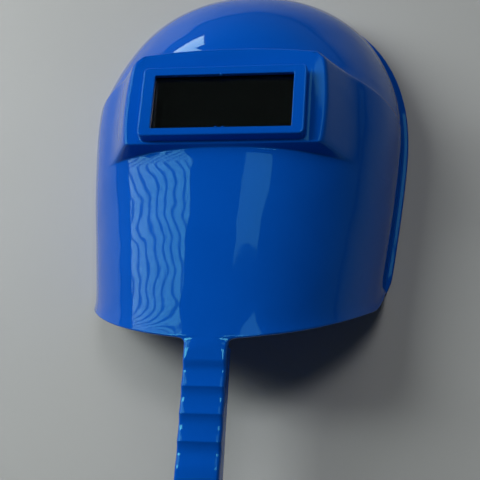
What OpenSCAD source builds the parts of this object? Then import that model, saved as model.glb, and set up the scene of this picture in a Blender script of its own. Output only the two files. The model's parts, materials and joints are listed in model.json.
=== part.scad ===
/* [Shell] */
// Height of the window frame's front face above the rim plane
face_z = 122; // [116:1:130]
// Half width of the wall at the rim, at the widest place
half_w = 121; // [115:1:126]
// Height of the chin panel's crown above the rim plane
chin_h = 109; // [106:0.5:110]
// Height of the dome's crown above the rim plane
dome_h = 102.5; // [98:0.5:106]
// Wall thickness of the moulding
wall = 2.6; // [2:0.1:3.2]
// Width of the flat flange round the rim
flange_w = 4.5; // [3:0.5:6]
// Thickness of the flange
flange_t = 3; // [2:0.5:4]

/* [Window] */
// Width of the clear opening
open_w = 100; // [96:0.5:102]
// Height of the clear opening
open_h = 42.2; // [40:0.2:44]
// Width of the raised frame
frame_w = 118; // [116:0.5:120]
// Height of the raised frame
frame_h = 54.4; // [54:0.2:56]
// How far the frame stands out of the brow
frame_rise = 9.5; // [8:0.5:11]
// Width of the standard glass
glass_w = 108; // [107:0.5:108]
// Height of the standard glass
glass_h = 50.8; // [50:0.1:51]
// Thickness of the dark filter glass
filter_t = 3; // [2:0.5:3]

/* [Handle] */
// Width of the handle's front face
grip_w = 29; // [26:0.5:32]
// Depth of the handle from front to back
grip_d = 18; // [16:0.5:20]
// Length of the handle from the chin edge
grip_len = 131; // [120:1:134]
// Distance between the finger ridges
ridge_pitch = 17.7; // [16:0.1:19]
// Depth of the scallops between the ridges
scallop = 2; // [1:0.25:2.5]

/* [Retainer] */
// Diameter of the hinge pin
pin_d = 2.5; // [2:0.1:3]
// Running clearance round the hinge pin
pin_gap = 0.05; // [0.03:0.01:0.1]

/* [Hidden] */

blue = [0.03, 0.31, 0.69];
steel = [0.72, 0.73, 0.75];
black = [0.06, 0.06, 0.07];
clear = [0.85, 0.92, 0.95, 0.35];

// v is the distance along the mask from the window's centre, positive towards the dome.
mid_v = 20;
dome_len = 131;
chin_len = 130;
plan_pow = 2.25;
corner_v = -112;
corner_lift = 18;
chin_drop = 57;
chin_rise = 1.8;
lip = 2;

// Brow: where its ends and its lower edge slope back into the body
brow_x = [72.3, 84.3];
brow_v = [-30.3, -28.9];
brow_z = face_z - frame_rise;
brow_inner_shift = 1.2;

// Ridge between the brow and the dome: an arch that falls away from the middle
ridge_v = 47.4;
ridge_run = 4.6;
ridge_sag = 14;
ridge_half = 113;

// Grid of the moulding: columns run round the section, rows run from chin to dome.
side_cols = [0, 9, 18, 27, 35, 42, 47.8, 51.5, 55.6, 63, 72, 81];
col_angles = concat(side_cols, [90], [for (i = [len(side_cols) - 1 : -1 : 0]) 180 - side_cols[i]]);
chin_steps = [0, 0.04, 0.1, 0.2, 0.35, 0.5, 0.65, 0.8, 0.92];
window_rows = [-14, 0, 12, 24];
ridge_rows = [0, ridge_run];
dome_rows = [18, 27, 36, 45, 54, 63, 72, 81];
row_count = len(chin_steps) + len(brow_v) + len(window_rows) + len(ridge_rows) + len(dome_rows);
col_count = len(col_angles);

// Lens stack, from the front lip down
lip_z = face_z - 3.5;
gasket_t = 0.8;
cover_t = 1.5;
spacer_t = 0.8;
inner_t = 1;
gasket_z = lip_z - gasket_t;
cover_z = gasket_z - cover_t;
spacer_z = cover_z - spacer_t;
filter_z = spacer_z - filter_t;
inner_z = filter_z - inner_t;
frame_v = 0.4;
housing_z = 108.4;
pocket_w = glass_w + 0.8;
pocket_h = glass_h + 0.6;
under_z = 100;
frame_r = 3;
pocket_r = 0.8;
open_r = 0.6;
glass_r = 0.5;
ring_r = 1;
ring_open_r = 2;

// Hinged retainer: a plate with a raised bead that holds two pads against the glass
hinge_v = 36;
hinge_z = 104.5;
plate_z = 105;
plate_t = 3;
plate_w = 114;
plate_v = [-25.5, 31.8];
plate_r = 3;
bead_w = 106.8;
bead_h = 49.4;
pad_t = 0.8;
pad_z = inner_z - pad_t;
pad_size = [3, 40, pad_t];
pad_x = 51.5;
ear_x = [18, 37];
ear_t = 4;
knuckle_t = 12;
knuckle_r = 3.4;
ear_r = 3.7;
pin_len = 86;
clip_r = 3;
clip_t = 0.8;
clip_grip = 0.02;
clip_gap = 0.6;

// Latch spring under the brow
latch_w = 16;
latch_t = 0.8;
latch_z = 101.5;
latch_foot = 6;
latch_screw_v = -46;
hook_gap = 3.3;
hook_len = 5.8;
hook_h = 2.9;
tab_v = plate_v[0] - 2;
tab_size = [latch_w + 4, 6, 2];
boss_r = 4.5;
washer_t = 0.6;

// Handle frame: origin on the front face at the chin edge, -Y along the handle
grip_tilt = 3.9;
grip_v = -168;
grip_z = 111.4;
grip_wall = 2.4;
part_z = -grip_d / 2;
first_ridge = 16;
neck_r = 7;
bulkhead_s = 6;
cover_step = 3;
cover_floor = 2.6;

// Screws and what holds them
screw_s = [24, 70, 116];
screw_r = 1.45;
pilot_r = screw_r + 0.05;
free_r = 1.6;
head_r = 3;
head_h = 1.2;
crown_h = 0.6;
slot = [3.8, 0.7, 1.2];
post_r = 3.8;
sink_r = 4.6;
sink_depth = 4.4;

// The window's place centres the whole mask on the origin.
window_y = (-grip_v + grip_len * cos(grip_tilt) - mid_v - dome_len - flange_w) / 2;

function ramp(a, b, x) = min(max((x - a) / (b - a), 0), 1);
function ease(t) = t * t * (3 - 2 * t);

// Half width of the section at the rim, inset by t
function rim_x(v, t) = let (w = half_w - t, reach = dome_len - t)
    v < mid_v ? w - 14 * pow((mid_v - v) / chin_len, 1.35)
    : w * pow(max(0, 1 - pow(min(1, (v - mid_v) / reach), plan_pow)), 1 / plan_pow);

// Crown height of the chin panel and of the dome, inset by t
function chin_crown(v, t) = chin_h - t + (v < -80 ? chin_rise * pow((-80 - v) / 92, 2) : 0);
function dome_crown(v, t) =
    (dome_h - t) * sqrt(max(0, 1 - pow(ramp(mid_v, mid_v + dome_len - t, v), 2)));
function ridge_at(x, t) = ridge_v - t - ridge_sag * pow(abs(x) / ridge_half, 2.2);
function past_ridge(x, v, t) = ramp(ridge_at(x, t), ridge_at(x, t) + ridge_run, v);
function crown(x, v, t) = let (k = past_ridge(x, v, t))
    chin_crown(v, t) * (1 - k) + dome_crown(v, t) * k;

// The section is a superellipse, fullest at the brow and rounder towards the dome.
function squareness(v) = 2.27 + 0.09 * ease(ramp(-80, -35, v)) * (1 - ease(ramp(35, 60, v)))
    - 0.3 * ease(ramp(30, 90, v));
function section_x(v, a, t) =
    rim_x(v, t) * sign(cos(a)) * pow(abs(cos(a)), 2 / squareness(v));
function section_z(x, v, a, t) = crown(x, v, t) * pow(abs(sin(a)), 2 / squareness(v));

// The brow is a flat raised plate whose ends slope back into the wall.
function inner_shift(t) = brow_inner_shift * t / wall;
function brow_share(x, v, t) = (1 - ramp(brow_x[0] - t, brow_x[1] - t, abs(x)))
    * ramp(brow_v[0] + inner_shift(t), brow_v[1] + inner_shift(t), v) * (1 - past_ridge(x, v, t));
function raised_z(x, v, z, t) = z + max(0, brow_z - t - z) * brow_share(x, v, t);

// The chin edge climbs from the rim's blunted corners to the handle.
function chin_edge_v(a) = let (share = pow(abs(sin(a)), 2 / squareness(corner_v)))
    corner_v - chin_drop * pow(share, 1.3) + corner_lift * pow(max(0, 1 - share / 0.3), 2);
function flare(k) = lip * pow(1 - k, 14);

function skin_point(v, a, t, out) = let (x = section_x(v, a, t), z = section_z(x, v, a, t))
    [x + out * cos(a), v + window_y, raised_z(x, v, z, t) + out * sin(a) * min(1, z / 12)];

function chin_row(k, t) = [for (a = col_angles) let (edge = chin_edge_v(a))
    skin_point(edge + (brow_v[0] + inner_shift(t) - edge) * k, a, t, flare(k))];
function level_row(v, t) = [for (a = col_angles) skin_point(v, a, t, 0)];
function ridge_row(run, t) = [for (a = col_angles)
    skin_point(ridge_at(section_x(ridge_v, a, t), t) + run, a, t, 0)];
function dome_row(e, t) = level_row(mid_v + (dome_len - t) * sin(e), t);
function skin(t) = concat(
    [for (k = chin_steps) each chin_row(k, t)],
    [for (v = brow_v) each level_row(v + inner_shift(t), t)],
    [for (v = window_rows) each level_row(v, t)],
    [for (run = ridge_rows) each ridge_row(run, t)],
    [for (e = dome_rows) each dome_row(e, t)],
    [[0, mid_v + dome_len - t + window_y, 0]]);

// Quads between two rows or two skins, split into triangles
function quad(a, b, c, d) = [[a, b, c], [a, c, d]];
function at(i, j) = i * col_count + j;

module moulded_skin() {
    outer = skin(0);
    inner = skin(wall);
    n = len(outer);
    last = row_count - 1;
    pole = n - 1;
    outer_faces = [for (i = [0 : last - 1], j = [0 : col_count - 2])
        each quad(at(i, j), at(i, j + 1), at(i + 1, j + 1), at(i + 1, j))];
    inner_faces = [for (i = [0 : last - 1], j = [0 : col_count - 2])
        each quad(n + at(i, j), n + at(i + 1, j), n + at(i + 1, j + 1), n + at(i, j + 1))];
    outer_cap = [for (j = [0 : col_count - 2]) [at(last, j), at(last, j + 1), pole]];
    inner_cap = [for (j = [0 : col_count - 2]) [n + at(last, j + 1), n + at(last, j), n + pole]];
    chin = [for (j = [0 : col_count - 2])
        each quad(at(0, j + 1), at(0, j), n + at(0, j), n + at(0, j + 1))];
    right_rim = [for (i = [0 : last - 1])
        each quad(at(i, 0), at(i + 1, 0), n + at(i + 1, 0), n + at(i, 0))];
    left = col_count - 1;
    left_rim = [for (i = [0 : last - 1])
        each quad(at(i + 1, left), at(i, left), n + at(i, left), n + at(i + 1, left))];
    tip = concat(quad(at(last, 0), pole, n + pole, n + at(last, 0)),
        quad(pole, at(last, left), n + at(last, left), n + pole));
    polyhedron(concat(outer, inner),
        concat(outer_faces, inner_faces, outer_cap, inner_cap, chin, right_rim, left_rim, tip));
}

// Plan outline of the rim, pushed out by d, from the chin corner over the dome
function rim_plan(d) = let (
    vs = concat([for (v = [corner_v + corner_lift + 1 : 8 : mid_v - 1]) v],
        [for (e = [0 : 5 : 90]) mid_v + dome_len * sin(e)]),
    right = [for (v = vs) [rim_x(v, 0) + d * (v < mid_v ? 1 : cos(90 * (v - mid_v) / dome_len)),
        v + (v < mid_v ? 0 : d * sin(90 * (v - mid_v) / dome_len))]])
    concat(right, [for (i = [len(right) - 2 : -1 : 0]) [-right[i][0], right[i][1]]]);

module rim_flange() {
    translate([0, window_y, 0]) linear_extrude(flange_t) difference() {
        polygon(rim_plan(flange_w));
        polygon(rim_plan(-wall / 2));
        translate([-half_w + 12, corner_v - 20]) square([2 * half_w - 24, 60]);
    }
}

module rounded_box(w, h, z0, z1, r) {
    translate([0, 0, z0]) linear_extrude(z1 - z0) rounded_outline(w, h, r);
}

module rounded_outline(w, h, r) {
    union() {
        square([w - 2 * r, h], center = true);
        square([w, h - 2 * r], center = true);
        for (x = [-1, 1], y = [-1, 1])
            translate([x * (w / 2 - r), y * (h / 2 - r)]) circle(r, $fn = 32);
    }
}

module at_window(v) {
    translate([0, window_y + v, 0]) children();
}

// Flat ring round the clear opening
module ring(w, h, z0, z1) {
    at_window(frame_v) difference() {
        rounded_box(glass_w, glass_h, z0, z1, ring_r);
        translate([0, -frame_v, 0]) rounded_box(w, h, z0 - 1, z1 + 1, ring_open_r);
    }
}

module x_cylinder(r, x0, x1) {
    translate([x0, 0, 0]) rotate([0, 90, 0]) cylinder(r = r, h = x1 - x0, $fn = 48);
}

module at_hinge(x) {
    translate([x, window_y + hinge_v, hinge_z]) children();
}

module at_latch(z) {
    translate([0, window_y + latch_screw_v, z]) children();
}

module pin_bore() {
    at_hinge(0) x_cylinder(pin_d / 2 + pin_gap, -pin_len, pin_len);
}

module hinge_ears() {
    for (side = [-1, 1], x = ear_x) at_hinge(side * x) {
        x_cylinder(ear_r, -ear_t / 2, ear_t / 2);
        translate([-ear_t / 2, -ear_r, 0]) cube([ear_t, 2 * ear_r, brow_z - wall - hinge_z + 1]);
    }
}

module on_handle() {
    translate([0, window_y + grip_v, grip_z]) rotate([grip_tilt, 0, 0]) children();
}

// Handle outline seen from the front: a flared neck and a round end
module handle_outline(inset) {
    end_r = grip_w / 2 - inset;
    translate([-end_r, -grip_len + grip_w / 2]) square([2 * end_r, grip_len - grip_w / 2 - inset]);
    translate([0, -grip_len + grip_w / 2]) circle(end_r, $fn = 64);
}

// Fillets that spread the handle into the chin edge
module handle_neck() {
    difference() {
        translate([-grip_w / 2 - neck_r, -neck_r]) square([grip_w + 2 * neck_r, neck_r + lip]);
        for (side = [-1, 1])
            translate([side * (grip_w / 2 + neck_r), -neck_r]) circle(neck_r, $fn = 48);
    }
}

// Slices that sink the front face between the finger ridges
module finger_scallops() {
    r = (pow(ridge_pitch / 2, 2) + pow(scallop, 2)) / (2 * scallop);
    for (i = [0 : 3]) translate([0, -first_ridge - (i + 0.5) * ridge_pitch, r - scallop])
        x_cylinder(r, -grip_w, grip_w);
}

module handle_front() {
    on_handle() difference() {
        union() {
            translate([0, 0, part_z]) linear_extrude(-part_z) handle_outline(0);
            translate([0, 0, part_z]) linear_extrude(-part_z) handle_neck();
        }
        finger_scallops();
        difference() {
            translate([0, -bulkhead_s, part_z - 1])
                linear_extrude(-part_z + 1 - grip_wall - scallop) handle_outline(grip_wall);
            for (s = screw_s) translate([0, -s, part_z - 1]) cylinder(r = post_r, h = 12, $fn = 48);
        }
        for (s = screw_s) translate([0, -s, part_z - 1]) cylinder(r = pilot_r, h = 6, $fn = 48);
    }
}

module latch_boss() {
    at_latch(latch_z + latch_t)
        cylinder(r = boss_r, h = chin_h - wall - latch_z - latch_t + 1, $fn = 48);
}

module shell() {
    color(blue) difference() {
        union() {
            moulded_skin();
            rim_flange();
            at_window(frame_v) rounded_box(frame_w, frame_h, housing_z, face_z, frame_r);
            hinge_ears();
            latch_boss();
            handle_front();
        }
        at_window(0) rounded_box(open_w, open_h, under_z, face_z + 1, open_r);
        at_window(frame_v) rounded_box(pocket_w, pocket_h, under_z, lip_z, pocket_r);
        pin_bore();
        at_latch(latch_z) cylinder(r = pilot_r, h = 6.5, $fn = 48);
    }
}

module window_gasket() {
    color(black) ring(open_w + 1, open_h + 1, gasket_z, lip_z);
}

module glass_plate(z, t) {
    at_window(frame_v) rounded_box(glass_w, glass_h, z, z + t, glass_r);
}

module outer_cover_lens() {
    color(clear) glass_plate(cover_z, cover_t);
}

module lens_spacer() {
    color(black) ring(open_w, open_h, spacer_z, cover_z);
}

module filter_glass() {
    color([0.02, 0.03, 0.02]) glass_plate(filter_z, filter_t);
}

module inner_cover_lens() {
    color(clear) glass_plate(inner_z, inner_t);
}

// Two rubber strips on the retainer's bead that press the inner lens
module pressure_pads() {
    color(black) at_window(frame_v) for (side = [-1, 1])
        translate([side * pad_x - pad_size.x / 2, -pad_size.y / 2, pad_z]) cube(pad_size);
}

module retainer_frame() {
    mid = (plate_v[0] + plate_v[1]) / 2;
    depth = plate_v[1] - plate_v[0];
    color(black) difference() {
        union() {
            at_window(mid) rounded_box(plate_w, depth, plate_z, plate_z + plate_t, plate_r);
            at_window(frame_v) rounded_box(bead_w, bead_h, plate_z + 1, pad_z, ring_open_r);
            at_window(tab_v) translate([-tab_size.x / 2, 0, plate_z]) cube(tab_size);
            for (side = [-1, 1]) at_hinge(side * (ear_x[0] + ear_x[1]) / 2) {
                x_cylinder(knuckle_r, -knuckle_t / 2, knuckle_t / 2);
                translate([-knuckle_t / 2, plate_v[1] - 4 - hinge_v, plate_z - hinge_z])
                    cube([knuckle_t, hinge_v - plate_v[1] + 4, plate_t - 0.1]);
            }
        }
        at_window(0) rounded_box(open_w - 1, open_h - 1, under_z, pad_z + 1, plate_r);
        pin_bore();
    }
}

module hinge_pin() {
    color(steel) at_hinge(0) x_cylinder(pin_d / 2, -pin_len / 2, pin_len / 2);
}

// Push-on washers that keep the pin from sliding out
module hinge_clips() {
    clip_x = ear_x[1] + ear_t / 2 + clip_gap + clip_t / 2;
    color(steel) for (side = [-1, 1]) at_hinge(side * clip_x) difference() {
        x_cylinder(clip_r, -clip_t / 2, clip_t / 2);
        x_cylinder(pin_d / 2 + clip_grip, -clip_t, clip_t);
    }
}

// Leaf spring: a flat foot under its screw and a hook below the retainer's tab
module latch_spring() {
    hook_v = tab_v - hook_gap;
    foot_v = latch_screw_v - latch_foot;
    color(steel) difference() {
        union() {
            translate([-latch_w / 2, window_y + foot_v, latch_z])
                cube([latch_w, hook_v - foot_v + latch_t, latch_t]);
            translate([-latch_w / 2, window_y + hook_v, latch_z]) cube([latch_w, latch_t, hook_h]);
            translate([-latch_w / 2, window_y + hook_v, latch_z + hook_h - 0.7])
                cube([latch_w, hook_len, latch_t]);
        }
        at_latch(latch_z - 1) cylinder(r = free_r + 0.1, h = 3, $fn = 48);
    }
}

module latch_washer() {
    color(steel) at_latch(latch_z - washer_t) difference() {
        cylinder(r = head_r + washer_t, h = washer_t, $fn = 48);
        translate([0, 0, -1]) cylinder(r = free_r, h = 3, $fn = 48);
    }
}

// Pan-head screw that points up, with the underside of its head at the origin
module pan_screw(length) {
    difference() {
        union() {
            cylinder(r = screw_r, h = length, $fn = 48);
            translate([0, 0, -head_h]) cylinder(r = head_r, h = head_h, $fn = 48);
            translate([0, 0, -head_h - crown_h])
                cylinder(r1 = head_r - 1, r2 = head_r, h = crown_h, $fn = 48);
        }
        for (turn = [0, 90]) rotate(turn) translate([-slot.x / 2, -slot.y / 2, -2]) cube(slot);
    }
}

module latch_screw() {
    color(steel) at_latch(latch_z - washer_t) pan_screw(6.4);
}

// The handle's outline from s = start to its round end
module cover_outline(inset, start) {
    intersection() {
        handle_outline(inset);
        translate([-grip_w, -grip_len]) square([2 * grip_w, grip_len - start]);
    }
}

module handle_back_cover() {
    color(blue) on_handle() difference() {
        union() {
            translate([0, 0, -grip_d + cover_step])
                linear_extrude(-part_z - cover_step) cover_outline(0, bulkhead_s);
            translate([0, 0, -grip_d]) linear_extrude(cover_step) cover_outline(2, bulkhead_s + 2);
        }
        difference() {
            translate([0, 0, -grip_d + cover_floor])
                linear_extrude(grip_d) cover_outline(grip_wall + 0.4, bulkhead_s + 3);
            for (s = screw_s) translate([0, -s, -grip_d]) cylinder(r = sink_r, h = -part_z, $fn = 48);
        }
        for (s = screw_s) translate([0, -s, -grip_d - 1]) {
            cylinder(r = free_r, h = grip_d, $fn = 48);
            cylinder(r = head_r + 0.3, h = sink_depth, $fn = 48);
        }
    }
}

module handle_screws() {
    color(steel) on_handle() for (s = screw_s) translate([0, -s, -grip_d + sink_depth - 1]) pan_screw(10.2);
}

shell();
window_gasket();
outer_cover_lens();
lens_spacer();
filter_glass();
inner_cover_lens();
pressure_pads();
retainer_frame();
hinge_pin();
hinge_clips();
latch_spring();
latch_washer();
latch_screw();
handle_back_cover();
handle_screws();
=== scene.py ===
import json
import math

import bmesh
import bpy
import numpy as np
from mathutils import Matrix, Vector


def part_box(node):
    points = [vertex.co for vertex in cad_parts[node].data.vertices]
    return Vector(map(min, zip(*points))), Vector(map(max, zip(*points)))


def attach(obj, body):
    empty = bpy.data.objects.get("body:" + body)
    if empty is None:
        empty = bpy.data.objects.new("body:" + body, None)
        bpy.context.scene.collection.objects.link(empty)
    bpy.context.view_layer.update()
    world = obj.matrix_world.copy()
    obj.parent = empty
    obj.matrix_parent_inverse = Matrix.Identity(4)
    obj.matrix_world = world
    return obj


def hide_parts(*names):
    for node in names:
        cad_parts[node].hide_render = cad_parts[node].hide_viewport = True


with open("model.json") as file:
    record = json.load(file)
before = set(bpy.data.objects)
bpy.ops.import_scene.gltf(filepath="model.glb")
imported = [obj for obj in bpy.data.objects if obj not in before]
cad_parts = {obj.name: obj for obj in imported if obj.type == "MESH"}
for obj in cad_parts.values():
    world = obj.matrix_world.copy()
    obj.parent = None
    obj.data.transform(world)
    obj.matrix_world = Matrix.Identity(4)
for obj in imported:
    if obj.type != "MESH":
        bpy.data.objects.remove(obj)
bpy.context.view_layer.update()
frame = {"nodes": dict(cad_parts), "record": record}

MM = 0.001

# ---------------------------------------------------------------- sizes, in millimetres
# v is the distance along the mask from the window's centre, and z the height over the rim.


def box_mm(node):
    """Lowest and highest corner of a CAD node, in millimetres."""
    return [np.array(corner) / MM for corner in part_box(node)]


_, SHELL_HI = box_mm("shell")
GLASS_LO, GLASS_HI = box_mm("filter_glass")
FACE_Z = SHELL_HI[2]

# The frame and the glass sit FRAME_V above the middle of the window's opening
FRAME_V = 0.4
WINDOW_Y = (GLASS_LO[1] + GLASS_HI[1]) / 2 - FRAME_V

# Rim flange and the body's outline
FLANGE_W = 4.5
FLANGE_T = 3.0
FLANGE_TOP_R = 0.9
FLANGE_LOW_R = 0.6
FLANGE_FILLET = 1.5
FLANGE_FADE = 14.0
WALL = 2.6
HALF_W = SHELL_HI[0] - FLANGE_W
MID_V = 20.0
DOME_LEN = SHELL_HI[1] - WINDOW_Y - MID_V - FLANGE_W
CHIN_LEN = 130.0
PLAN_POW = 2.25
TAPER = 14.0
TAPER_POW = 1.35

# Height of the body's middle line: CHIN_H, rising from RISE_V down, and the dome's
CHIN_H = 109.0
CHIN_RISE = 1.8
RISE_V = -80.0
RISE_LEN = 92.0
DOME_H = 102.5

# Exponent of the section: over the chin, what the brow adds and what the dome takes away,
# and the stretches of v over which they come and go
SECTION_POW = 2.27
BROW_POW = 0.09
BROW_COMES = (-80, -35)
BROW_GOES = (35, 60)
DOME_POW = 0.3
DOME_COMES = (30, 90)

# Chin edge: it drops from the rim's corners, which are lifted over a share of the height
CORNER_V = -112.0
CORNER_LIFT = 18.0
CORNER_SHARE = 0.3
CHIN_DROP = 57.0
CHIN_POW = 1.3
LIP = 2.0
LIP_POW = 16
EDGE_R = 0.9

# Brow: a flat plate behind the window frame
BROW_Z = FACE_Z - 9.5
CREASE_V = -30.3
BROW_LOW_V = -28.9
BROW_TOP_V = 41.8
BROW_MID_X = 72.3
BROW_BOW = 2.3
BROW_BOW_V = 3.0
BROW_BOW_LEN = 32.0
BROW_CORNERS = {"top": (36.0, 6.0), "low": (-26.5, 2.5)}
BROW_SIDE = 12.0
BROW_BENDS = (0.13, 0.75)
RIDGE_V = 47.4
RIDGE_SAG = 14.0
RIDGE_MEAN_V = 40.0
RIDGE_HALF = 113.0
RIDGE_POW = 2.2
STEP_RUN = 0.8
STEP_SLOPE = 0.3

# Window frame and its housing
FRAME_HALF = (59.0, 27.2)
FRAME_R = 0.9
OPEN_R = 0.5
OPEN_HALF = (50.0, 21.1)
POCKET_HALF = (54.4, 25.7)
HOLE_X = 61.5
HOLE_V = (-27.9, 29.9)
HOLE_CORNER = 6.5
CORNER_SPLIT = HOLE_CORNER * 0.586
LIP_Z = FACE_Z - 3.5
HOUSING_Z = 108.4

# Handle: s runs down the handle from the chin edge
GRIP_TILT = math.radians(3.9)
GRIP_V = -168.0
GRIP_Z = 111.4
GRIP_W = 29.0
GRIP_D = 18.0
GRIP_LEN = 131.0
GRIP_WALL = 2.4
GRIP_EDGE_R = 2.2
NECK_R = 7.0
NECK_LEN = 14.0
NECK_CURVE = 8.0
CHIN_SLOPE = 0.106
GRIP_ZONE_X = 24.0
RIDGE_S = 16.0
RIDGE_PITCH = 17.7
SCALLOP = 2.0
SCALLOPS = 4
SCALLOP_LOW = 0.36
SCALLOP_POW = 1.7
SCREW_S = (24.0, 70.0, 116.0)

# Retainer hinge, latch and other bosses. They reach SINK into the wall that carries them.
SINK = 0.4
HINGE_V = 36.0
HINGE_Z = 104.5
EAR_X = (18.0, 37.0)
EAR_T = 4.0
EAR_R = 3.7
EAR_TOP = BROW_Z - WALL - HINGE_Z + SINK
PIN_HOLE_R = 1.3
LATCH_V = -46.0
LATCH_TOP_Z = 102.3
BOSS_R = 4.5
POST_R = 3.8
PILOT_R = 1.5
BULKHEAD_S = (3.5, 6.0)

# Moulding marks on the opening's edge
NUB_X = (-2.0, -3.0, 2.0)
NUB_SIDE = (1, -1, -1)
NUB_R = 1.2
NUB_DEPTH = 1.1


# ---------------------------------------------------------------- small formulas

def ramp(a, b, x):
    """0 before a, 1 after b, straight between."""
    return np.clip((x - a) / (b - a), 0, 1)


def ease(t):
    """Rounds both ends of a ramp t from 0 to 1."""
    return t * t * (3 - 2 * t)


def soft_ramp(t, low, high):
    """A ramp from 0 to 1 over t = 0 to 1, with parabolas of half length low and high at its ends."""
    def bend(u, r):
        return np.where(u < -r, 0, np.where(u > r, u, (u + r) ** 2 / (4 * r)))
    return bend(t, low) - bend(t - 1, high)


def rim_half(v, inset=0.0):
    """Half width of the mask at the rim."""
    half = HALF_W - inset
    below = half - TAPER * np.clip((MID_V - v) / CHIN_LEN, 0, None) ** TAPER_POW
    share = np.clip((v - MID_V) / (DOME_LEN - inset), 0, 1)
    above = half * (1 - share ** PLAN_POW) ** (1 / PLAN_POW)
    return np.where(v < MID_V, below, above)


def squareness(v):
    """Exponent of the superellipse section: fuller at the brow, rounder towards the dome."""
    fuller = BROW_POW * ease(ramp(*BROW_COMES, v)) * (1 - ease(ramp(*BROW_GOES, v)))
    return SECTION_POW + fuller - DOME_POW * ease(ramp(*DOME_COMES, v))


def front_crown(v, inset=0.0):
    """Height of the body's middle line. It rises a little towards the chin edge."""
    return CHIN_H - inset + CHIN_RISE * (np.clip(RISE_V - v, 0, None) / RISE_LEN) ** 2


def dome_crown(v, inset=0.0):
    """Height of the dome's middle line, a quarter of an ellipse."""
    share = np.clip((v - MID_V) / (DOME_LEN - inset), 0, 1)
    return (DOME_H - inset) * np.sqrt(1 - share ** 2)


def ridge_v(x):
    """Where the brow and the body end in a step down to the dome."""
    return RIDGE_V - RIDGE_SAG * (np.abs(x) / RIDGE_HALF) ** RIDGE_POW


def corner_pull(depth, radius):
    """How far a round corner pulls the edge in, at a depth into the corner."""
    return radius - np.sqrt(radius ** 2 - np.clip(depth, 0, radius - 0.1) ** 2)


def brow_half(v):
    """Half width of the flat brow plate: bowed, with rounded corners."""
    top_v, top_r = BROW_CORNERS["top"]
    low_v, low_r = BROW_CORNERS["low"]
    bow = BROW_MID_X - BROW_BOW * ((v - BROW_BOW_V) / BROW_BOW_LEN) ** 2
    return bow - corner_pull(v - top_v, top_r) - corner_pull(low_v - v, low_r)


def raised(x, v, z, inset=0.0):
    """Body height z lifted to the brow plate, with sides that slope back into the body."""
    over = (np.abs(x) - brow_half(np.clip(v, BROW_LOW_V, BROW_TOP_V)) + inset) / BROW_SIDE
    share = 1 - soft_ramp(over, *BROW_BENDS)
    return z + np.clip(BROW_Z - inset - z, 0, None) * share


# ---------------------------------------------------------------- mesh building

# Angles between faces: coplanar below the first, bevelled over the second, shaded hard over the third
FLAT_ANGLE = math.radians(0.8)
HARD_ANGLE = math.radians(32)
SHARP_ANGLE = math.radians(50)


def smooth_object(bm, name):
    """Makes an object of a bmesh and frees it. It is shaded smooth, except at sharp edges."""
    for face in bm.faces:
        face.smooth = True
    for edge in bm.edges:
        edge.smooth = len(edge.link_faces) == 2 and edge.calc_face_angle() < SHARP_ANGLE
    mesh = bpy.data.meshes.new(name)
    bm.to_mesh(mesh)
    bm.free()
    obj = bpy.data.objects.new(name, mesh)
    bpy.context.scene.collection.objects.link(obj)
    return obj


class Skin:
    """Patches of quads, joined into one mesh where their points meet."""

    def __init__(self):
        self.points = []
        self.faces = []

    def patch(self, grid, closed=False, keep=None):
        """Adds a grid of points, rows by columns. closed joins its last row to its first."""
        grid = np.asarray(grid, float)
        rows, cols = grid.shape[:2]
        base = sum(len(p) for p in self.points)
        self.points.append(grid.reshape(-1, 3))
        for i in range(rows if closed else rows - 1):
            for j in range(cols - 1):
                if keep is None or keep(i, j):
                    up = (i + 1) % rows
                    self.faces.append([base + i * cols + j, base + i * cols + j + 1,
                                       base + up * cols + j + 1, base + up * cols + j])

    def cap(self, loop):
        """Closes a loop of points with one face."""
        base = sum(len(p) for p in self.points)
        self.points.append(np.asarray(loop, float).reshape(-1, 3))
        self.faces.append(list(range(base, base + len(loop))))

    def object(self, name):
        """Makes the object: points within 2 micrometres are joined, and loose bits are dropped."""
        bm = bmesh.new()
        verts = [bm.verts.new(p * MM) for p in np.concatenate(self.points)]
        for face in self.faces:
            bm.faces.new([verts[i] for i in face])
        bmesh.ops.remove_doubles(bm, verts=bm.verts, dist=0.002 * MM)
        bmesh.ops.dissolve_degenerate(bm, edges=bm.edges, dist=0.001 * MM)
        loose = [v for v in bm.verts if not v.link_faces]
        bmesh.ops.delete(bm, geom=loose, context="VERTS")
        bmesh.ops.recalc_face_normals(bm, faces=bm.faces)
        return smooth_object(bm, name)


def corner_points(before, corner, after):
    """A quadratic arc that rounds a corner: arrays of points in, a list of arrays out."""
    return [(1 - t) ** 2 * before + 2 * t * (1 - t) * corner + t * t * after
            for t in np.linspace(0, 1, ARC_ROWS)]


def toward(a, b, distance):
    """The point at that distance from a towards b, at most 45% of the way."""
    length = np.linalg.norm(b - a, axis=-1, keepdims=True)
    return a + (b - a) * np.minimum(distance / np.maximum(length, 1e-9), 0.45)


# ---------------------------------------------------------------- grid of the moulding

# Columns by x at the window, then by share of the angle down to the rim
NECK_X = 26.4
FLAT_X = [0, 4.4, 8.8, 13.2, 17.6, 22, NECK_X, 31, 36, 41, 46, 50.5, HOLE_X - HOLE_CORNER,
          HOLE_X - CORNER_SPLIT, HOLE_X]
LOBE_X = [63.5, 65.5, 67.3, 68.8, 69.9, 70.7, 71.4, 72.1, 72.8, 73.5, 74.3, 75.3, 76.6,
          78.2, 80.2, 82.6, 85.6, 89]
INNER_X = np.array(FLAT_X + LOBE_X)
INNER = len(INNER_X)
SIDE_COLS = 20
COLS = INNER + SIDE_COLS
NECK_COL = FLAT_X.index(NECK_X)
HOLE_COL = FLAT_X.index(HOLE_X)
RIM_Z = FLANGE_T + FLANGE_FILLET
INNER_RIM_Z = 0.8

# The inner columns follow the brow's edge from the first x on, and half let go over the next two
FOLLOW_X = 70.0
LET_GO_X = (76.0, 89.0)

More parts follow.
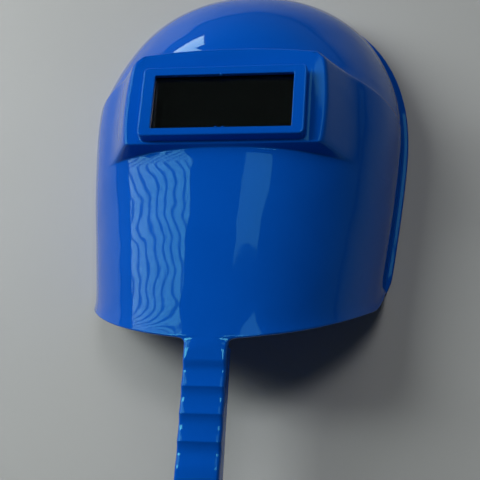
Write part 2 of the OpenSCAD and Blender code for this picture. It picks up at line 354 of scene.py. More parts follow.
# Over these stretches of v the columns leave the brow's edge, down to the chin and up to the dome
FREE_DOWN = (-34, -95)
FREE_UP = (46, 100)

# Rows: of each rounded edge, of the plate above the window, and of the dome
ARC_ROWS = 5
PLATE_STEPS = (0.2, 0.4, 0.6, 0.78, 0.92)
DOME_ROWS = 33


def rim_angle(v, crown, z):
    """Angle at which the section is z high."""
    n = squareness(v)
    share = np.clip(z / np.maximum(crown, 1e-9), 0, 1)
    return np.arcsin(share ** (n / 2))


def x_angle(x, v, inset):
    """Angle at which the section is x from the middle."""
    n = squareness(v)
    return np.arccos(np.clip(x / np.maximum(rim_half(v, inset), 1e-6), 0, 1) ** (n / 2))


def column_x(v):
    """Inner columns at v: straight beside the window, then following the brow's edge."""
    x = np.broadcast_to(INNER_X, v.shape[:-1] + INNER_X.shape).copy()
    shift = brow_half(np.clip(v, BROW_LOW_V, BROW_TOP_V)) - BROW_MID_X
    lobe = ease(ramp(HOLE_X, FOLLOW_X, INNER_X)) * (1 - 0.5 * ramp(*LET_GO_X, INNER_X))
    return x + shift * lobe


def banded_angles(x, v, crown, inset, cut_z):
    """Angles of the columns: the inner ones at x, and the side ones spread from there to the rim."""
    inner = x_angle(x * (HALF_W - inset) / HALF_W, v[..., :INNER], inset)
    start = x_angle(INNER_X[-1] * (HALF_W - inset) / HALF_W, v[..., INNER - 1:INNER], inset)
    low = rim_angle(v[..., INNER:], crown[..., INNER:], cut_z)
    share = 1 - np.arange(1, SIDE_COLS + 1) / SIDE_COLS
    return np.concatenate([inner, low + (start - low) * share], -1)


def section_angles(v, crown, inset, cut_z):
    """Angles of the right-hand columns, from the middle to the rim. v has one value per column.

    Beside the window they follow the brow's edge. Over the chin and the dome they have the
    same shares of the angle as at the window's middle.
    """
    banded = banded_angles(column_x(v[..., :INNER]), v, crown, inset, cut_z)
    middle_v, middle_crown = np.zeros(COLS), np.full(COLS, CHIN_H - inset)
    low = rim_angle(middle_v, middle_crown, cut_z)
    middle = banded_angles(INNER_X, middle_v, middle_crown, inset, cut_z)
    share = (middle - low) / (math.pi / 2 - low)
    low = rim_angle(v, crown, cut_z)
    free = low + (math.pi / 2 - low) * share
    return banded + (free - banded) * np.maximum(ease(ramp(*FREE_DOWN, v)), ease(ramp(*FREE_UP, v)))


def section(v, crown, inset, cut_z):
    """Right-hand points (x, z) of rows of sections."""
    a = section_angles(v, crown, inset, cut_z)
    n = squareness(v)
    x = rim_half(v, inset) * np.cos(a) ** (2 / n)
    z = crown * np.sin(a) ** (2 / n)
    return x, z, a


def row_v(value):
    """One row of the grid with the same v in every column."""
    return np.full((1, COLS), float(value))


def points(x, v, z):
    """Points of the frame, from arrays of x, v and z."""
    return np.stack([x, v + WINDOW_Y, z], -1)


def front_row(v, inset, cut_z):
    """A row of the body, with the brow, at v (one value per column)."""
    x, z, _ = section(v, front_crown(v, inset), inset, cut_z)
    return points(x, v, raised(x, v, z, inset))


def plain_row(v, inset, cut_z):
    """A row of the body without the brow."""
    x, z, _ = section(v, front_crown(v, inset), inset, cut_z)
    return points(x, v, z)


def dome_row(v, inset, cut_z):
    """A row of the dome."""
    x, z, _ = section(v, dome_crown(v, inset), inset, cut_z)
    return points(x, v, z)


CHIN_STEPS = [0, 0.005, 0.011, 0.018, 0.027, 0.038, 0.052, 0.07, 0.095, 0.13, 0.18, 0.25, 0.33,
              0.41, 0.5, 0.58, 0.67, 0.75, 0.83, 0.9, 0.95]


def chin_edge(inset, cut_z):
    """v of the chin edge for each column: it climbs from the rim's blunted corner to the handle."""
    v = row_v(CORNER_V)
    crown = front_crown(v, inset)
    a = section_angles(v, crown, inset, cut_z)
    rise = np.sin(a) ** (2 / squareness(v))
    blunt = CORNER_LIFT * np.clip(1 - rise / CORNER_SHARE, 0, 1) ** 2
    return CORNER_V - CHIN_DROP * rise ** CHIN_POW + blunt


def chin_rows(inset, cut_z, top_v):
    """Rows from the chin edge up to top_v, with the edge turned out into a small lip."""
    edge = chin_edge(inset, cut_z)
    out = []
    for k in CHIN_STEPS:
        v = edge + (top_v - edge) * k
        x, z, a = section(v, front_crown(v, inset), inset, cut_z)
        away = ease(ramp(NECK_X - 8, NECK_X + 14, x))
        lip = LIP * (1 - k) ** LIP_POW * away
        out.append(points(x + lip * np.cos(a), v, z + lip * np.sin(a)))
    return out


def hole_rows():
    """v of the rows that cross the window's hole, from its lower side to its upper side."""
    low, high = HOLE_V
    straight = np.linspace(low + HOLE_CORNER, high - HOLE_CORNER, 7)
    return [low, low + CORNER_SPLIT, *straight, high - CORNER_SPLIT, high]


def brow_wall(inset, cut_z, crease):
    """Rows over the crease and the rounded lower edge of the brow."""
    def place(v, row):
        return row(row_v(v), inset, cut_z)
    foot = place(crease, plain_row)
    edge = place(BROW_LOW_V, front_row)
    edge[..., 0] = foot[..., 0]
    before = place(crease - 1.6, plain_row)
    after = place(BROW_LOW_V + 0.9, front_row)
    low_round = corner_points(toward(foot, before, 1.3), foot, toward(foot, edge, 1.3))
    high_round = corner_points(toward(edge, foot, 1.0), edge, after)
    return low_round + high_round


def ridge_wall(inset, cut_z, shift):
    """Rows over the ridge and down its step to the dome, with v of the ridge and of the step's foot."""
    x = front_row(row_v(RIDGE_MEAN_V), inset, cut_z)[..., 0]
    # The ridge's v depends on x, and x on v: a few rounds bring them together
    for _ in range(4):
        v = ridge_v(x) - shift
        top = front_row(v, inset, cut_z)
        x = top[..., 0]
    drop = np.clip(top[..., 2] - dome_row(v, inset, cut_z)[..., 2], 0, None)
    run = STEP_RUN + STEP_SLOPE * drop
    foot = dome_row(v + run, inset, cut_z)
    before = front_row(v - 2.0, inset, cut_z)
    after = dome_row(v + run + 3.0, inset, cut_z)
    high_round = corner_points(toward(top, before, 1.5), top, toward(top, foot, 1.5))
    low_round = corner_points(toward(foot, top, 2.4), foot, toward(foot, after, 2.6))
    return v, high_round + low_round, v + run


def skin_rows(inset, cut_z, crease, ridge_shift):
    """All rows of one skin, from the chin edge to the dome's far end, and the hole's first and last."""
    rows = chin_rows(inset, cut_z, crease - 2.2)
    rows += brow_wall(inset, cut_z, crease)
    hole_first = len(rows)
    rows += [front_row(row_v(v), inset, cut_z) for v in hole_rows()]
    hole_last = len(rows) - 1
    top_v, ridge_rows, foot_v = ridge_wall(inset, cut_z, ridge_shift)
    for t in PLATE_STEPS:
        rows.append(front_row(HOLE_V[1] + (top_v - 1.6 - HOLE_V[1]) * t, inset, cut_z))
    rows += ridge_rows
    start = np.arcsin(np.clip((foot_v + 3.4 - MID_V) / (DOME_LEN - inset), -1, 1))
    end = math.acos(cut_z / (DOME_H - inset))
    for k in np.arange(1, DOME_ROWS) / DOME_ROWS:
        v = MID_V + (DOME_LEN - inset) * np.sin(start + (end - start) * k)
        rows.append(dome_row(v, inset, cut_z))
    # All columns of the last row meet in one point
    rows.append(dome_row(row_v(MID_V + (DOME_LEN - inset) * math.sin(end)), inset, cut_z))
    return rows, hole_first, hole_last


def both_sides(rows):
    """Mirrors right-hand rows (1, columns, 3) into whole rows, from -x to +x."""
    right = np.concatenate(rows, 0)
    left = right[:, :0:-1].copy()
    left[..., 0] *= -1
    return np.concatenate([left, right], 1)


# ---------------------------------------------------------------- window frame

def window_loop(grid, first, last, half, centre_v, radius, z):
    """A rounded rectangle with one point for each point on the hole's edge in the grid."""
    mid = (grid.shape[1] - 1) // 2
    span_x = HOLE_X - HOLE_CORNER
    span_v = (HOLE_V[1] - HOLE_V[0]) / 2 - HOLE_CORNER
    mid_v = (HOLE_V[0] + HOLE_V[1]) / 2
    out = []
    for i, j in hole_edge(mid, first, last):
        x = INNER_X[abs(j - mid)] * (1 if j >= mid else -1)
        v = hole_rows()[i - first] - mid_v
        over_x, over_v = abs(x) - span_x, abs(v) - span_v
        at_x, at_v = half[0] - radius, half[1] - radius
        if over_x > -1e-6 and over_v > -1e-6:
            angle = math.atan2(over_v, over_x)
            px = at_x + radius * math.cos(angle)
            pv = at_v + radius * math.sin(angle)
        elif over_x > -1e-6:
            px, pv = half[0], abs(v) / span_v * at_v
        else:
            px, pv = abs(x) / span_x * at_x, half[1]
        out.append((math.copysign(px, x), math.copysign(pv, v) + centre_v + WINDOW_Y, z))
    return np.array(out)


def hole_edge(mid, first, last):
    """Grid places round the hole: lower side, right side, upper side, left side."""
    left, right = mid - HOLE_COL, mid + HOLE_COL
    lower = [(first, j) for j in range(left, right)]
    upper = [(last, j) for j in range(right, left, -1)]
    return (lower + [(i, right) for i in range(first, last)]
            + upper + [(i, left) for i in range(last, first, -1)])


def arc_profile(d, z, r, start, end, count):
    """Points (d, z) of an arc round a centre, with angles in degrees."""
    return [(d + r * math.cos(math.radians(a)), z + r * math.sin(math.radians(a)))
            for a in np.linspace(start, end, count)]


def frame_profile():
    """The frame's cross-section as (outline, distance outside it, height), from the brow inwards."""
    draft = 0.05
    outer = arc_profile(FRAME_R + draft, BROW_Z + FRAME_R, FRAME_R, 270, 180, 5)
    outer += [(-0.02, FACE_Z - 3)]
    outer += arc_profile(-FRAME_R - draft, FACE_Z - FRAME_R, FRAME_R, 0, 90, 6)
    outer += [(-1.7, FACE_Z)]
    opening = [(1.4, FACE_Z), (0.6, FACE_Z)]
    opening += arc_profile(OPEN_R, FACE_Z - OPEN_R, OPEN_R, 90, 180, 5)
    opening += [(0, LIP_Z + 0.3), (0.15, LIP_Z)]
    pocket = [(-0.2, LIP_Z), (0, LIP_Z - 0.2), (0, HOUSING_Z + 0.5), (0.4, HOUSING_Z)]
    housing = [(-0.6, HOUSING_Z), (0, HOUSING_Z + 0.6), (0, BROW_Z - WALL - 0.4)]
    return ([("frame", d, z) for d, z in outer] + [("open", d, z) for d, z in opening]
            + [("pocket", d, z) for d, z in pocket] + [("frame", d, z) for d, z in housing])


OUTLINES = {"frame": (FRAME_HALF, FRAME_V, 3.6), "open": (OPEN_HALF, 0.0, 0.9),
            "pocket": (POCKET_HALF, FRAME_V, 1.2)}


def window_ring(outer, inner, first, last):
    """Loops from the outer skin's hole over the frame and the housing to the inner skin's hole."""
    mid = (outer.shape[1] - 1) // 2
    places = hole_edge(mid, first, last)
    loops = [np.array([outer[i, j] for i, j in places])]
    for outline, d, z in frame_profile():
        half, centre_v, radius = OUTLINES[outline]
        grown = (half[0] + d, half[1] + d)
        loops.append(window_loop(outer, first, last, grown, centre_v, max(radius + d, 0.3), z))
    loops.append(np.array([inner[i, j] for i, j in places]))
    return np.stack(loops, 1)


# ---------------------------------------------------------------- rim flange

def plan_point(edge):
    """The wall's foot and its outward normal, in plan, beside a path along the rim."""
    x, v = edge[:, 0], edge[:, 1] - WINDOW_Y
    side = np.sign(np.where(np.abs(x) < 1e-9, 0, x))
    across, along = np.abs(x) / HALF_W, np.clip((v - MID_V) / DOME_LEN, 0, None)
    reach = (across ** PLAN_POW + along ** PLAN_POW) ** (-1 / PLAN_POW)
    over = v > MID_V
    foot_x = np.where(over, np.abs(x) * reach, rim_half(v))
    foot_v = np.where(over, MID_V + (v - MID_V) * reach, v)
    slope = rim_half(v + 0.5) - rim_half(v - 0.5)
    nx = np.where(over, across ** (PLAN_POW - 1) / HALF_W, 1.0)
    nv = np.where(over, along ** (PLAN_POW - 1) / DOME_LEN, -slope)
    size = np.hypot(nx, nv)
    foot = np.stack([side * foot_x, foot_v + WINDOW_Y, 0 * x], -1)
    return foot, np.stack([side * nx / size, nv / size, 0 * x], -1)


def rim_path(grid):
    """Grid edge from the right chin corner over the dome to the left one."""
    return np.concatenate([grid[:, -1], grid[-2::-1, 0]])


def flange(outer, inner):
    """Cross-sections of the rim from the outer skin to the inner one.

    Towards the chin corners the flange narrows until only the chin edge's lip is left.
    """
    start, end = rim_path(outer), rim_path(inner)
    foot, normal = plan_point(start)
    v = start[:, 1] - WINDOW_Y
    width = 1 - 0.95 * (1 - ramp(v.min(), v.min() + FLANGE_FADE, v)) ** 2
    lip = np.where(v < MID_V, np.clip(np.abs(start[:, 0]) - np.abs(foot[:, 0]), 0, None), 0)
    up = np.array([0, 0, 1.0])
    profile = arc_profile(FLANGE_FILLET, RIM_Z, FLANGE_FILLET, 180, 270, 5)[1:]
    profile += arc_profile(FLANGE_W - FLANGE_TOP_R, FLANGE_T - FLANGE_TOP_R, FLANGE_TOP_R, 90, 0, 5)
    profile += arc_profile(FLANGE_W - FLANGE_LOW_R, FLANGE_LOW_R, FLANGE_LOW_R, 0, -90, 4)
    profile += [(0.5, 0), (-WALL + 0.8, 0), (-WALL + 0.25, 0.25)]
    lines = [start]
    for d, z in profile:
        out = lip + (d * width if d > 0 else d)
        lines.append(foot + normal * out[:, None] + up * z)
    lines.append(end)
    return np.stack(lines, 1)


# ---------------------------------------------------------------- handle

def on_handle(p):
    """From the handle's own frame (x, y, z with -y along it) to the mask's."""
    p = np.asarray(p, float)
    c, s = math.cos(GRIP_TILT), math.sin(GRIP_TILT)
    return np.stack([p[..., 0], p[..., 1] * c - p[..., 2] * s + GRIP_V + WINDOW_Y,
                     p[..., 1] * s + p[..., 2] * c + GRIP_Z], -1)


def off_handle(p):
    """The inverse of on_handle."""
    c, s = math.cos(GRIP_TILT), math.sin(GRIP_TILT)
    y, z = p[..., 1] - GRIP_V - WINDOW_Y, p[..., 2] - GRIP_Z
    return np.stack([p[..., 0], y * c + z * s, -y * s + z * c], -1)


def grip_half(s, inset=0.0):
    """Half width of the handle at s: a flared neck, straight sides and a round end."""
    half = GRIP_W / 2 - inset
    flare = NECK_R + inset
    neck = flare - np.sqrt(np.clip(flare ** 2 - np.clip(flare - s, 0, flare) ** 2, 0, None))
    end = np.clip((s - GRIP_LEN + GRIP_W / 2) / half, 0, 1)
    return (half + neck) * np.sqrt(1 - end ** 2)


def finger_shape(s):
    """Depth of the front face at s: scallops with a steep start and a long rise to a sharp crest."""
    depth = np.zeros(np.shape(s))
    for i in range(SCALLOPS):
        t = (s - RIDGE_S - i * RIDGE_PITCH) / RIDGE_PITCH
        fall = ramp(0, SCALLOP_LOW, t)
        rise = ramp(SCALLOP_LOW, 1, t)
        fall = ease(fall) if i == 0 else 1 - (1 - fall) ** 2
        rise = ease(rise) if i == SCALLOPS - 1 else rise ** SCALLOP_POW
        depth = depth + np.where((t > 0) & (t < 1), SCALLOP * (fall - rise), 0)
    return depth


def grip_stations():
    """s of the handle's rows, close together at the crests, and where the round end starts."""
    straight = GRIP_LEN - GRIP_W / 2
    crests = [RIDGE_S + i * RIDGE_PITCH for i in range(SCALLOPS + 1)]
    steps = [0, 0.8, 1.7, 2.8, 4.1, 5.5, 7, 9, 11, 13, 14.8]
    for crest in crests[:-1]:
        steps += [crest + d for d in (-0.5, 0, 0.5, 1.3, 2.3, 3.5, 4.8, 6.2, 8, 10, 12.2, 14.4, 16)]
    steps += list(np.arange(crests[-1], straight - 1, 4.0))
    return [s for s in sorted(steps) if s < straight - 0.5], straight


def grip_patch(edge, inset, drop):
    """Front face of the handle's front half, from the chin edge to the round end.

    edge is the chin's edge row between the neck's ends; inset and drop place the inner face.
    """
    local = off_handle(edge)
    share = local[:, 0] / local[-1, 0]
    steps, straight = grip_stations()
    rows = [edge]
    end_r = GRIP_W / 2 - inset
    stations = [(s, grip_half(s, inset)) for s in steps[1:]]
    for e in np.linspace(0, 90, 13):
        turn = math.radians(e)
        stations.append((straight + end_r * math.sin(turn), end_r * math.cos(turn)))
    first_gap = local[-1, 0] - grip_half(0.0, inset)
    for s, half in stations:
        fade = 1 - ease(ramp(0, NECK_LEN, s))
        x = share * (half + first_gap * (1 - ease(ramp(0, NECK_R, s))))
        y = -s + local[:, 1] * (1 - ease(ramp(0, NECK_CURVE, s)))
        chin_z = local[:, 2] + CHIN_SLOPE * s
        grip_z = -finger_shape(s) - drop - 0.25 * (x / end_r) ** 2
        z = chin_z * fade + grip_z * (1 - fade)
        rows.append(on_handle(np.stack([x, y, z], -1)))
    return np.array(rows)


def outline_path(skin, patch, first, last):
    """Edge of the front face: along the chin, round the handle and along the chin again."""
    left = skin[0, :first + 1]
    right = skin[0, last:]
    down = patch[1:, 0]
    up = patch[-2:0:-1, -1]
    return np.concatenate([left, down, up, right])


def path_frames(path):
    """For each point of the edge: the direction out of the face's edge, and the face's normal."""
    ahead = np.roll(path, -1, 0)
    behind = np.roll(path, 1, 0)
    ahead[-1], behind[0] = path[-1], path[0]
    tangent = ahead - behind
    tangent /= np.linalg.norm(tangent, axis=1)[:, None]
    normal = path * (0.75, 0, 1)
    local = off_handle(path)
    on_grip = ramp(-2, -9, local[:, 1]) * (np.abs(path[:, 0]) < GRIP_ZONE_X)
    straight = np.array([0, -math.sin(GRIP_TILT), math.cos(GRIP_TILT)])
    unit = normal / np.linalg.norm(normal, axis=1)[:, None]
    normal = unit + (straight - unit) * on_grip[:, None]
    out = np.cross(tangent, normal)
    out /= np.linalg.norm(out, axis=1)[:, None]
    return out, np.cross(out, tangent)


def edge_strip(outer_path, inner_path):
    """Rounded edge and side walls from the outer face's edge to the inner face's."""
    out, normal = path_frames(outer_path)
    on_grip = ramp(0, -8, off_handle(outer_path)[:, 1]) * (np.abs(outer_path[:, 0]) < GRIP_ZONE_X)
    grip = ease(on_grip)[:, None]
    radius = EDGE_R + (GRIP_EDGE_R - EDGE_R) * grip
    lines = [outer_path]
    for a in (22, 45, 67, 90):
        turn = math.radians(a)
        lines.append(outer_path + out * radius * math.sin(turn) - normal * radius * (1 - math.cos(turn)))
    side = outer_path + out * radius
    part_local = off_handle(side)
    part_local[:, 2] = -GRIP_D / 2
    chin_foot = side - normal * (WALL - 0.2 - EDGE_R)
    foot = chin_foot + (on_handle(part_local) - chin_foot) * grip
    round_end = side - normal * radius
    inward = foot - out * (radius + 0.6 * (1 - grip) + 0.2)
    lines.append(round_end + (foot - round_end) * 0.5)
    lines.append(foot - (foot - side) * 0.02)
    lines.append(foot - out * 0.5 - normal * 0.35 * (1 - grip))
    lines.append(inward * grip + (inner_path - normal * 0.1) * (1 - grip))
    lines.append(inner_path)
    return np.stack(lines, 1)


# ---------------------------------------------------------------- bosses inside the shell

def sleeve(outline, bore, low, high, bevel=0.4, sides=40):
    """A bored prism along the third axis, with bevelled ends. outline gives its radius at an angle."""
    turns = np.linspace(0, 2 * math.pi, sides + 1)
    outside = np.array([outline(a) for a in turns])
    inside = np.full(len(turns), bore)
    loops = [(outside - bevel, low), (outside, low + bevel), (outside, high - bevel),
             (outside - bevel, high), (inside + bevel, high), (inside, high - bevel),
             (inside, low + bevel), (inside + bevel, low)]
    return np.array([[(r * math.cos(a), r * math.sin(a), z) for r, a in zip(radii, turns)]
                     for radii, z in loops])


def ear_outline(angle):
    """Radius of a hinge ear: round below its axis and straight up to the brow above it."""
    if math.sin(angle) <= 0:
        return EAR_R
    to_side = EAR_R / max(abs(math.cos(angle)), 1e-9)
    return min(to_side, EAR_TOP / max(math.sin(angle), 1e-9))


def hinge_ears():
    """Four bored ears under the brow that carry the retainer's pin."""
    ear = sleeve(ear_outline, PIN_HOLE_R, -EAR_T / 2, EAR_T / 2)
    for x in (-EAR_X[1], -EAR_X[0], EAR_X[0], EAR_X[1]):
        yield np.stack([x + ear[..., 2], WINDOW_Y + HINGE_V + ear[..., 0], HINGE_Z + ear[..., 1]], -1)


def latch_boss():
    """The round boss that takes the latch's screw."""
    post = sleeve(lambda angle: BOSS_R, PILOT_R, LATCH_TOP_Z, CHIN_H - WALL + SINK)
    return post + np.array([0, WINDOW_Y + LATCH_V, 0])


def screw_posts():
    """Posts inside the handle that take the back cover's screws."""
    post = sleeve(lambda angle: POST_R, PILOT_R, -GRIP_D / 2, -SCALLOP - GRIP_WALL + 0.6)
    for s in SCREW_S:
        yield on_handle(post + np.array([0, -s, 0]))


def bulkhead():
    """The wall that closes the handle's hollow at its neck."""
    half = GRIP_W / 2 - 1.2
    outline = [(-half, BULKHEAD_S[0]), (half, BULKHEAD_S[0]), (half, BULKHEAD_S[1]),
               (-half, BULKHEAD_S[1]), (-half, BULKHEAD_S[0])]
    low, high, bevel = -GRIP_D / 2, -1.2, 0.3
    loops = [(0.0, low), (1 - bevel / half, low), (1.0, low + bevel), (1.0, high), (0.0, high)]
    mid_s = sum(BULKHEAD_S) / 2
    return on_handle([[(x * k, -(mid_s + (s - mid_s) * k), z) for x, s in outline] for k, z in loops])


def nubs():
    """Moulding marks on the edge of the opening: half-round pips, one above and two below."""
    turns = np.linspace(0, 2 * math.pi, 13)
    ball = [(-0.3, 0), (-0.3, 1), (0, 1), (0.5, 0.85), (0.85, 0.5), (1, 0)]
    for x, side in zip(NUB_X, NUB_SIDE):
        yield np.array([[(x + NUB_R * r * math.cos(a),
                          WINDOW_Y + side * (OPEN_HALF[1] + 0.1 - NUB_R * h),
                          FACE_Z - NUB_DEPTH + 1.3 * NUB_R * r * math.sin(a)) for a in turns]
                        for h, r in ball])


# ---------------------------------------------------------------- the shell

def make_shell():
    outer_rows, first, last = skin_rows(0.0, RIM_Z, CREASE_V, 0.0)
    inner_rows, _, _ = skin_rows(WALL, INNER_RIM_Z, CREASE_V + 0.2, WALL * 0.9)
    outer, inner = both_sides(outer_rows), both_sides(inner_rows)
    mid = (outer.shape[1] - 1) // 2

    def outside_hole(i, j):
        return not (first <= i < last and mid - HOLE_COL <= j < mid + HOLE_COL)

    skin = Skin()
    skin.patch(outer, keep=outside_hole)
    skin.patch(inner, keep=outside_hole)
    skin.patch(window_ring(outer, inner, first, last), closed=True)
    rim = flange(outer, inner)
    skin.patch(rim)
    neck = slice(mid - NECK_COL, mid + NECK_COL + 1)
    front = grip_patch(outer[0, neck], GRIP_EDGE_R, 0.0)
    back = grip_patch(inner[0, neck], GRIP_EDGE_R + 1.0, GRIP_WALL)
    skin.patch(front)
    skin.patch(back)
    strip = edge_strip(outline_path(outer, front, neck.start, neck.stop - 1),
                       outline_path(inner, back, neck.start, neck.stop - 1))
    skin.patch(strip)
    skin.cap(np.concatenate([rim[0], strip[-1][-2:0:-1]]))
    skin.cap(np.concatenate([rim[-1], strip[0][-2:0:-1]]))
    for ring in [*hinge_ears(), latch_boss(), *screw_posts()]:
        skin.patch(ring, closed=True)
    for bump in [bulkhead(), *nubs()]:
        skin.patch(bump)
    return skin.object("mask_shell")


# ---------------------------------------------------------------- finished copies of the CAD parts

def part_facts():
    """For each CAD node: its material slot and the body that it belongs to."""
    record = frame["record"]
    slots = {row["node"]: row["material_slot"] for row in record["subparts"]}
    bodies = {node: body for body, nodes in record["behaviour"]["bodies"].items() for node in nodes}
    return {node: (slots[node], bodies[node]) for node in slots}


def finished(node, bevel):
    """A copy of a CAD node with its hard edges rounded by bevel millimetres."""
    bm = bmesh.new()
    bm.from_mesh(frame["nodes"][node].data)
    bmesh.ops.remove_doubles(bm, verts=bm.verts, dist=0.001 * MM)
    bmesh.ops.dissolve_limit(bm, verts=bm.verts, edges=bm.edges, angle_limit=FLAT_ANGLE)
    hard = [e for e in bm.edges if len(e.link_faces) == 2 and e.calc_face_angle() > HARD_ANGLE]
    bmesh.ops.bevel(bm, geom=hard, offset=bevel * MM, segments=2, profile=0.5,
                    affect="EDGES", clamp_overlap=True)
    obj = smooth_object(bm, node + "_detail")
    normals = obj.modifiers.new("even normals", "WEIGHTED_NORMAL")
    normals.keep_sharp = True
    return obj


# Rounding of each part's edges
EDGE_ROUND = {
    "window_gasket": 0.15, "lens_spacer": 0.15, "outer_cover_lens": 0.25, "filter_glass": 0.25,
    "inner_cover_lens": 0.2, "pressure_pads": 0.25, "retainer_frame": 0.4, "hinge_pin": 0.3,
    "hinge_clips": 0.12, "latch_spring": 0.12, "latch_washer": 0.1, "latch_screw": 0.1,
    "handle_back_cover": 0.7, "handle_screws": 0.1,
}


# ---------------------------------------------------------------- materials

class Look:
    """A material with a Principled shader and the noise that varies it."""

    def __init__(self, name, colour, roughness, **sockets):
        self.material = bpy.data.materials.new(name)
        self.material.use_nodes = True
        self.tree = self.material.node_tree
        self.shader = self.tree.nodes["Principled BSDF"]
        self.set(self.shader, {"Base Color": (*colour, 1), "Roughness": roughness, **sockets})
        self.coords = self.tree.nodes.new("ShaderNodeTexCoord").outputs["Object"]

    def set(self, node, values):
        for socket, value in values.items():
            node.inputs[socket].default_value = value

    def noise(self, scale, detail=2.0, stretch=None):
        """Noise with scale features to the metre. stretch squeezes it along the axes."""
        source = self.coords
        if stretch:
            mapping = self.tree.nodes.new("ShaderNodeMapping")
            mapping.inputs["Scale"].default_value = stretch
            self.tree.links.new(source, mapping.inputs["Vector"])
            source = mapping.outputs["Vector"]
        node = self.tree.nodes.new("ShaderNodeTexNoise")
        self.set(node, {"Scale": scale, "Detail": detail})
        self.tree.links.new(source, node.inputs["Vector"])
        return node.outputs["Fac"]

    def vary_colour(self, factor, dark, light):
        ramp_node = self.tree.nodes.new("ShaderNodeValToRGB")
        ramp_node.color_ramp.elements[0].position = 0.3
        ramp_node.color_ramp.elements[0].color = (*dark, 1)
        ramp_node.color_ramp.elements[1].position = 0.7
        ramp_node.color_ramp.elements[1].color = (*light, 1)
        self.tree.links.new(factor, ramp_node.inputs["Fac"])
        self.tree.links.new(ramp_node.outputs["Color"], self.shader.inputs["Base Color"])

    def vary_roughness(self, factor, low, high):
        spread = self.tree.nodes.new("ShaderNodeMapRange")
        self.set(spread, {"From Min": 0.3, "From Max": 0.7, "To Min": low, "To Max": high})
        self.tree.links.new(factor, spread.inputs["Value"])
        self.tree.links.new(spread.outputs["Result"], self.shader.inputs["Roughness"])

    def relief(self, *layers):
        """Surface relief: pairs of a noise and its height in metres."""
        before = None
        for factor, height in layers:
            bump = self.tree.nodes.new("ShaderNodeBump")
            self.set(bump, {"Strength": 1.0, "Distance": height})
            self.tree.links.new(factor, bump.inputs["Height"])
            if before:
                self.tree.links.new(before, bump.inputs["Normal"])
            before = bump.outputs["Normal"]
        self.tree.links.new(before, self.shader.inputs["Normal"])


def blue_plastic():
    """Glossy moulded polypropylene: slow waves from the mould and a faint skin."""
    look = Look("blue_plastic", (0.001, 0.09, 0.54), 0.1,
                **{"Specular IOR Level": 0.33, "Specular Tint": (0.2, 0.96, 1, 1)})
    look.vary_colour(look.noise(11, 3), (0.0008, 0.085, 0.515), (0.0012, 0.095, 0.565))
    look.vary_roughness(look.noise(70, 5), 0.02, 0.05)
    look.relief((look.noise(25, 1.2), 0.0009), (look.noise(1800, 2), 0.0000008))
    return look.material


def clear_plastic():
    look = Look("clear_plastic", (0.93, 0.96, 0.97), 0.02,
                **{"Transmission Weight": 1.0, "IOR": 1.49})
    look.vary_roughness(look.noise(240, 6), 0.01, 0.05)
    return look.material


def filter_glass():
    look = Look("filter_glass", (0.004, 0.006, 0.005), 0.03, **{"IOR": 1.52})
    look.vary_colour(look.noise(30, 2), (0.003, 0.0045, 0.004), (0.005, 0.007, 0.006))
    look.vary_roughness(look.noise(200, 4), 0.02, 0.05)
    return look.material


def black_plastic():
    """Matt black moulding with a fine spark-eroded grain."""
    look = Look("black_plastic", (0.02, 0.02, 0.022), 0.5)
    look.vary_colour(look.noise(60, 4), (0.016, 0.016, 0.018), (0.026, 0.026, 0.028))
    look.vary_roughness(look.noise(400, 4), 0.42, 0.6)
    look.relief((look.noise(2600, 3), 0.00002))
    return look.material


def black_rubber():
    look = Look("black_rubber", (0.012, 0.012, 0.012), 0.75)
    look.vary_colour(look.noise(90, 4), (0.009, 0.009, 0.009), (0.018, 0.018, 0.017))
    look.vary_roughness(look.noise(500, 3), 0.65, 0.85)
    look.relief((look.noise(1500, 4), 0.00003))
    return look.material


def steel():
    """Bright zinc plate with drawn lines along x."""
    look = Look("steel", (0.62, 0.63, 0.65), 0.28, Metallic=1.0)
    look.vary_colour(look.noise(120, 3), (0.55, 0.56, 0.58), (0.67, 0.68, 0.70))
    look.vary_roughness(look.noise(900, 3, (0.06, 1, 1)), 0.2, 0.38)
    look.relief((look.noise(1400, 2, (0.05, 1, 1)), 0.000006))
    return look.material


MATERIALS = {make.__name__: make() for make in
             (blue_plastic, clear_plastic, filter_glass, black_plastic, black_rubber, steel)}


def dress(obj, slot, body, *nodes):
    """Gives a new piece its material and its body, and hides the CAD nodes that it stands for."""
    obj.data.materials.clear()
    obj.data.materials.append(MATERIALS[slot])
    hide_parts(*nodes)
    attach(obj, body)


FACTS = part_facts()
dress(make_shell(), *FACTS["shell"], "shell")
for node, bevel in EDGE_ROUND.items():
    dress(finished(node, bevel), *FACTS[node], node)

# ---------------------------------------------------------------- camera, floor and lights

# Camera: where it is from the middle of the window's front, and its three directions
CAMERA_PLACE = (0.151617, -0.378234, 0.664739)
CAMERA_RIGHT = (0.983704, 0.068351, -0.166295)
CAMERA_DOWN = (0.000167, -0.925267, -0.379317)
CAMERA_AHEAD = (-0.179793, 0.373108, -0.9102)
CAMERA_LENS = 83.025

# Room: strength of its light at the horizon and overhead, and what the lights point at
HORIZON = 0.13
OVERHEAD = 0.02
ROOM_COLOUR = (0.85, 1.0, 0.97, 1)
FLOOR_SIZE = 8
AIM = Vector((0, 0.02, 0.06))


def make_camera():
    data = bpy.data.cameras.new("camera")
    data.lens = CAMERA_LENS
    data.sensor_width = 36
    data.clip_start = 0.01
    camera = bpy.data.objects.new("camera", data)
    spot = Vector(CAMERA_PLACE) + Vector((0, WINDOW_Y, FACE_Z)) * MM
    turn = Matrix((CAMERA_RIGHT, -Vector(CAMERA_DOWN), -Vector(CAMERA_AHEAD))).transposed().to_4x4()
    camera.matrix_world = Matrix.Translation(spot) @ turn
    bpy.context.scene.collection.objects.link(camera)
    bpy.context.scene.camera = camera


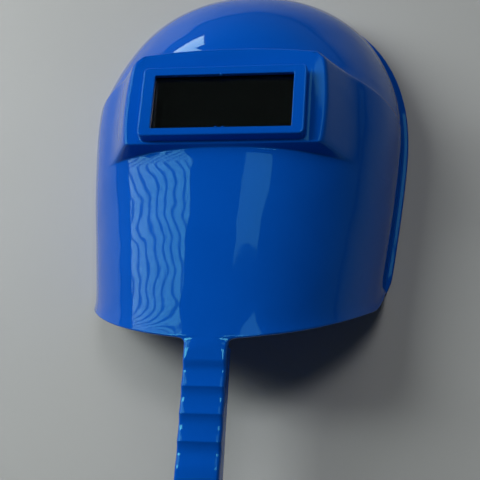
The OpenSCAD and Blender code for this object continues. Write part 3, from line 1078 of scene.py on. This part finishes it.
def area_light(name, place, across, size, power, colour=(1, 1, 1)):
    """Adds a rectangular light that faces the mask. Its width runs along across."""
    data = bpy.data.lights.new(name, "AREA")
    data.shape = "RECTANGLE"
    data.size, data.size_y = size
    data.energy = power
    data.color = colour
    light = bpy.data.objects.new(name, data)
    light.location = place
    back = (Vector(place) - AIM).normalized()
    wide = (Vector(across) - back * back.dot(Vector(across))).normalized()
    light.rotation_euler = Matrix((wide, back.cross(wide), back)).transposed().to_euler()
    bpy.context.scene.collection.objects.link(light)
    return data


def glazing_bars(data, columns, rows, bar, shade):
    """Splits a light into panes, with bars that let only a share of the light through."""
    data.use_nodes = True
    tree = data.node_tree

    def math_node(operation, first, second):
        node = tree.nodes.new("ShaderNodeMath")
        node.operation = operation
        for socket, value in zip(node.inputs, (first, second)):
            if isinstance(value, float):
                socket.default_value = value
            else:
                tree.links.new(value, socket)
        return node.outputs[0]

    place = tree.nodes.new("ShaderNodeNewGeometry").outputs["Parametric"]
    split = tree.nodes.new("ShaderNodeSeparateXYZ")
    tree.links.new(place, split.inputs["Vector"])
    open_share = 1.0
    for axis, count in (("X", columns), ("Y", rows)):
        along = math_node("FRACT", math_node("MULTIPLY", split.outputs[axis], float(count)), 0.0)
        open_share = math_node("MULTIPLY", open_share, math_node("GREATER_THAN", along, bar))
    strength = math_node("MAXIMUM", open_share, shade)
    tree.links.new(strength, tree.nodes["Emission"].inputs["Strength"])


def make_floor():
    bpy.ops.mesh.primitive_plane_add(size=FLOOR_SIZE, location=(0, 0, 0))
    floor = bpy.context.object
    floor.name = "floor"
    look = Look("floor", (0.47, 0.475, 0.48), 0.6)
    look.vary_colour(look.noise(3, 2), (0.45, 0.455, 0.46), (0.49, 0.495, 0.5))
    floor.data.materials.append(look.material)


def make_world():
    """A dim room: darkest overhead, paler towards the horizon."""
    world = bpy.data.worlds.new("room")
    bpy.context.scene.world = world
    world.use_nodes = True
    tree = world.node_tree
    coords = tree.nodes.new("ShaderNodeTexCoord")
    split = tree.nodes.new("ShaderNodeSeparateXYZ")
    fade = tree.nodes.new("ShaderNodeMapRange")
    fade.interpolation_type = "SMOOTHSTEP"
    fade.inputs["From Min"].default_value = 0.0
    fade.inputs["From Max"].default_value = 0.6
    fade.inputs["To Min"].default_value = HORIZON
    fade.inputs["To Max"].default_value = OVERHEAD
    tree.links.new(coords.outputs["Generated"], split.inputs["Vector"])
    tree.links.new(split.outputs["Z"], fade.inputs["Value"])
    background = tree.nodes["Background"]
    background.inputs["Color"].default_value = ROOM_COLOUR
    tree.links.new(fade.outputs["Result"], background.inputs["Strength"])


def make_lights():
    """A barred window at the left, and softer lights round the mask."""
    window = area_light("window_light", (-1.06, 0.6, 0.92), (0.5, 0.87, 0), (0.95, 1.18), 17)
    glazing_bars(window, 12, 60, 0.3, 0.1)
    area_light("left_light", (-1.0, 0.22, 1.13), (0, 1, 0), (0.28, 0.95), 9, (0.93, 1.0, 0.94))
    area_light("top_light", (0.2, 0.18, 1.45), (1, 0, 0), (0.4, 0.3), 2.8)
    area_light("far_light", (-0.66, 1.29, 0.4), (1, 0, 0), (0.3, 0.25), 1.6)
    area_light("back_light", (0.13, 0.66, 1.3), (1, 0, 0), (0.4, 0.4), 0.65)


make_camera()
make_floor()
make_world()
make_lights()
# The default transform can't show a blue as saturated as the photo's
bpy.context.scene.view_settings.view_transform = "Standard"
